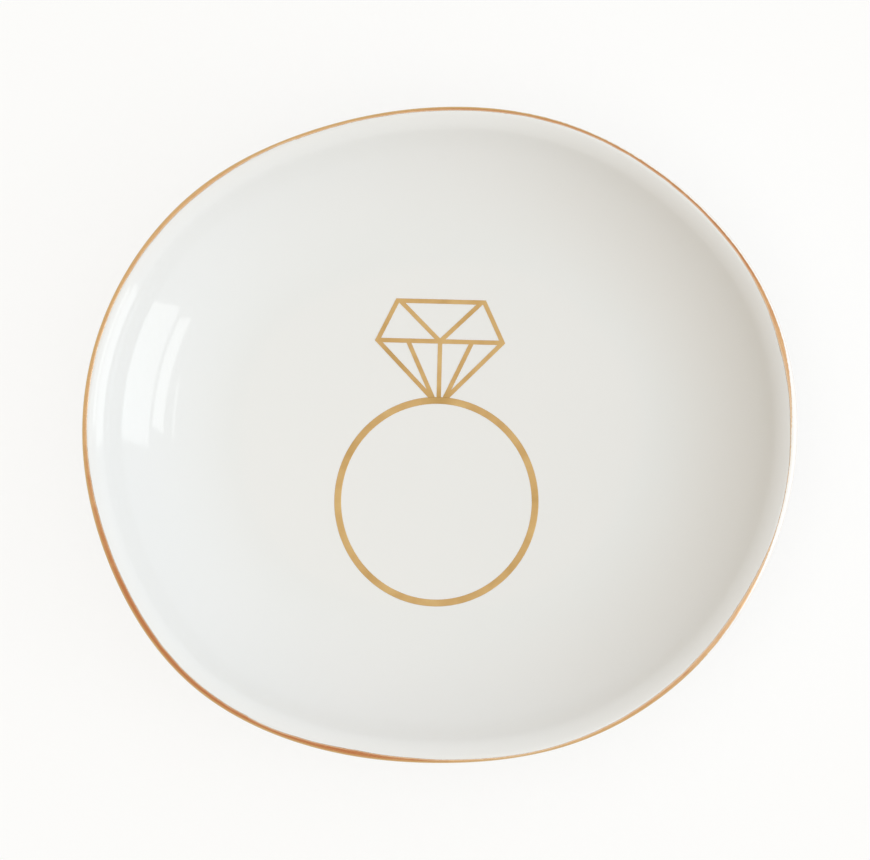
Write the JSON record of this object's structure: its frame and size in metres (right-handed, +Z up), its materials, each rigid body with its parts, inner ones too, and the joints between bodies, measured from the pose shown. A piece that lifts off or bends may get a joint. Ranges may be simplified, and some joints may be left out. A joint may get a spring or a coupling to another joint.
{
  "type": "ring dish",
  "caption": "Small oval glazed porcelain dish on a foot ring, with a gilded lip and a gold finger-ring figure on its floor, for holding rings.",
  "frame": {"origin": "middle of the dish's box, on the surface that the foot rests on", "axes": "+X along the dish's longer side, +Y across it, away from the hoop and past the stone of the printed figure, +Z up out of the dish"},
  "size_m": [0.11, 0.101, 0.0166],
  "materials": {
    "bisque": "matte unglazed porcelain",
    "glaze": "glossy clear glaze on white porcelain",
    "rim_gold": "bright gilding, brushed on by hand",
    "print_gold": "satin gold print fired on the glaze"
  },
  "bodies": {
    "root": {"porcelain_body": "bisque", "dish_glaze": "glaze", "underside_glaze": "glaze", "rim_gilding": "rim_gold", "hoop_print": "print_gold", "stone_print": "print_gold"}
  },
  "joints": []
}
